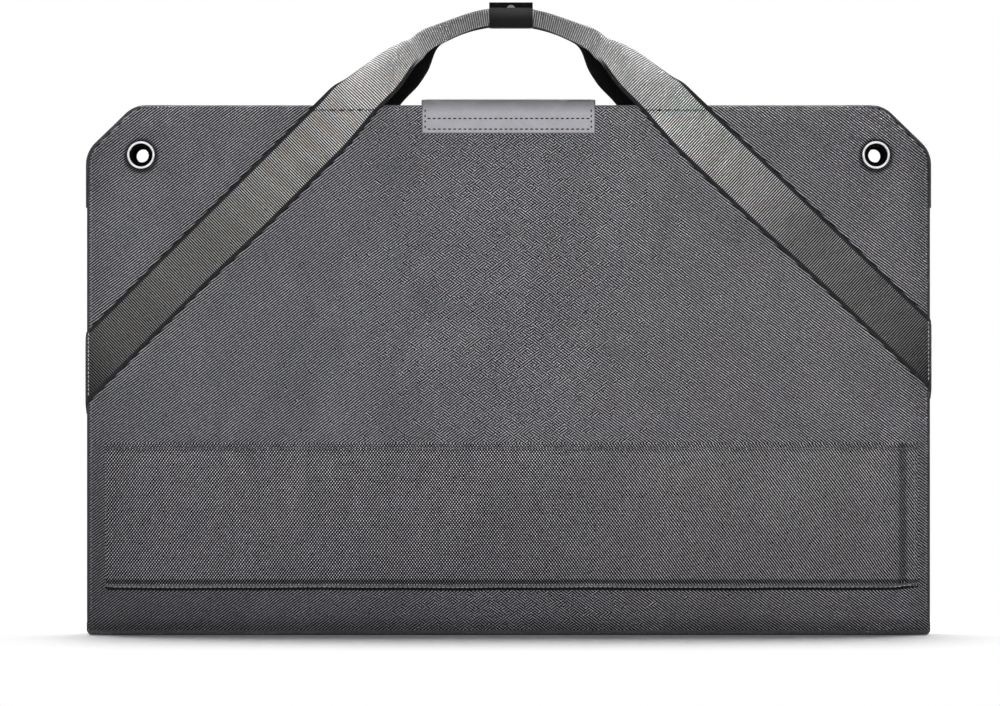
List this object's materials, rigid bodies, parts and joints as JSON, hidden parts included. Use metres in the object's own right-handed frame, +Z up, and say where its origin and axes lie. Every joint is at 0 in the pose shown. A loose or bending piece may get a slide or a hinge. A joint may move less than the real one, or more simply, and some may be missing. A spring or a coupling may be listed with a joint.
{
  "type": "solar suitcase kit",
  "caption": "Fabric solar suitcase: padded leaves with solar film inside fold on a spine, with webbing carry loops, snap grip wrap, magnetic leather closure, kickstands and corner eyelets.",
  "frame": {"origin": "middle of the spine's underside, on the surface the closed case stands on", "axes": "+Z up, +X to the right across the front leaf, front leaf towards -Y"},
  "size_m": [0.677, 0.0522, 0.5075],
  "materials": {
    "case_fabric": "woven grey oxford fabric",
    "binding_tape": "smooth dark tape",
    "lining_fabric": "black lining fabric",
    "grey_webbing": "ribbed grey webbing",
    "grey_leather": "smooth grey leather",
    "black_leather": "smooth black leather",
    "solar_film": "clear film over dark cells",
    "stiff_board": "matt hollow board",
    "nickel": "polished nickel plate",
    "magnet": "flexible magnet strip",
    "steel_strip": "plain steel strip",
    "black_plastic": "moulded black plastic",
    "ribbon_film": "flat ribbon cable film"
  },
  "bodies": {
    "spine": {"spine_cover": "binding_tape", "spine_lining": "lining_fabric", "spine_ribbon_lead": "ribbon_film"},
    "front_leaf": {"front_cover": "case_fabric", "front_stiffener": "stiff_board", "front_solar_laminate": "solar_film", "front_inner_border": "lining_fabric", "front_eyelet_left": "nickel", "front_eyelet_right": "nickel", "front_washer_left": "nickel", "front_washer_right": "nickel", "front_binding_left": "binding_tape", "front_binding_right": "binding_tape", "front_strap_left": "grey_webbing", "front_strap_right": "grey_webbing", "closure_panel": "grey_leather"},
    "rear_leaf": {"rear_cover": "case_fabric", "rear_stiffener": "stiff_board", "rear_solar_laminate": "solar_film", "rear_inner_border": "lining_fabric", "rear_eyelet_left": "nickel", "rear_eyelet_right": "nickel", "rear_washer_left": "nickel", "rear_washer_right": "nickel", "rear_binding_left": "binding_tape", "rear_binding_right": "binding_tape", "rear_strap_left": "grey_webbing", "rear_strap_right": "grey_webbing", "closure_keeper_strip": "steel_strip", "cable_pouch": "case_fabric", "junction_box_base": "black_plastic", "junction_box_lid": "black_plastic", "output_socket": "black_plastic"},
    "front_kickstand": {"front_kickstand_sleeve": "case_fabric", "front_kickstand_board": "stiff_board"},
    "rear_kickstand": {"rear_kickstand_sleeve": "case_fabric", "rear_kickstand_board": "stiff_board"},
    "front_handle": {"front_handle_loop": "grey_webbing", "grip_wrap_back": "black_leather", "grip_snap_stud": "nickel"},
    "grip_wrap_tab": {"grip_wrap_front": "black_leather", "grip_snap_socket": "nickel"},
    "rear_handle": {"rear_handle_loop": "grey_webbing"},
    "closure_tongue": {"closure_tongue_leather": "grey_leather", "closure_tongue_lining": "grey_leather", "closure_magnet_bar": "magnet"},
    "pouch_flap": {"cable_pouch_flap": "case_fabric"}
  },
  "joints": [
    {"name": "front_leaf_fold", "type": "hinge", "parent": "spine", "child": "front_leaf", "pos_m": [0, -0.014, 0.007], "axis": [1, 0, 0], "range_deg": [0, 90]},
    {"name": "rear_leaf_fold", "type": "hinge", "parent": "spine", "child": "rear_leaf", "pos_m": [0, 0.014, 0.007], "axis": [-1, 0, 0], "range_deg": [0, 90]},
    {"name": "front_kickstand_swing", "type": "hinge", "parent": "front_leaf", "child": "front_kickstand", "pos_m": [0, -0.0165, 0.1505], "axis": [-1, 0, 0], "range_deg": [0, 100]},
    {"name": "rear_kickstand_swing", "type": "hinge", "parent": "rear_leaf", "child": "rear_kickstand", "pos_m": [0, 0.0165, 0.1505], "axis": [1, 0, 0], "range_deg": [0, 100]},
    {"name": "front_handle_fold", "type": "hinge", "parent": "front_leaf", "child": "front_handle", "pos_m": [0, -0.0185, 0.4215], "axis": [1, 0, 0], "range_deg": [0, 175]},
    {"name": "rear_handle_fold", "type": "hinge", "parent": "rear_leaf", "child": "rear_handle", "pos_m": [0, 0.0185, 0.4215], "axis": [-1, 0, 0], "range_deg": [0, 175]},
    {"name": "grip_wrap_open", "type": "hinge", "parent": "front_handle", "child": "grip_wrap_tab", "pos_m": [0, -0.0113, 0.4862], "axis": [1, 0, 0], "range_deg": [0, 150]},
    {"name": "closure_tongue_lift", "type": "hinge", "parent": "front_leaf", "child": "closure_tongue", "pos_m": [0, -0.017, 0.426], "axis": [1, 0, 0], "range_deg": [0, 120]},
    {"name": "pouch_flap_lift", "type": "hinge", "parent": "rear_leaf", "child": "pouch_flap", "pos_m": [0, 0.0172, 0.2845], "axis": [1, 0, 0], "range_deg": [0, 120]}
  ]
}
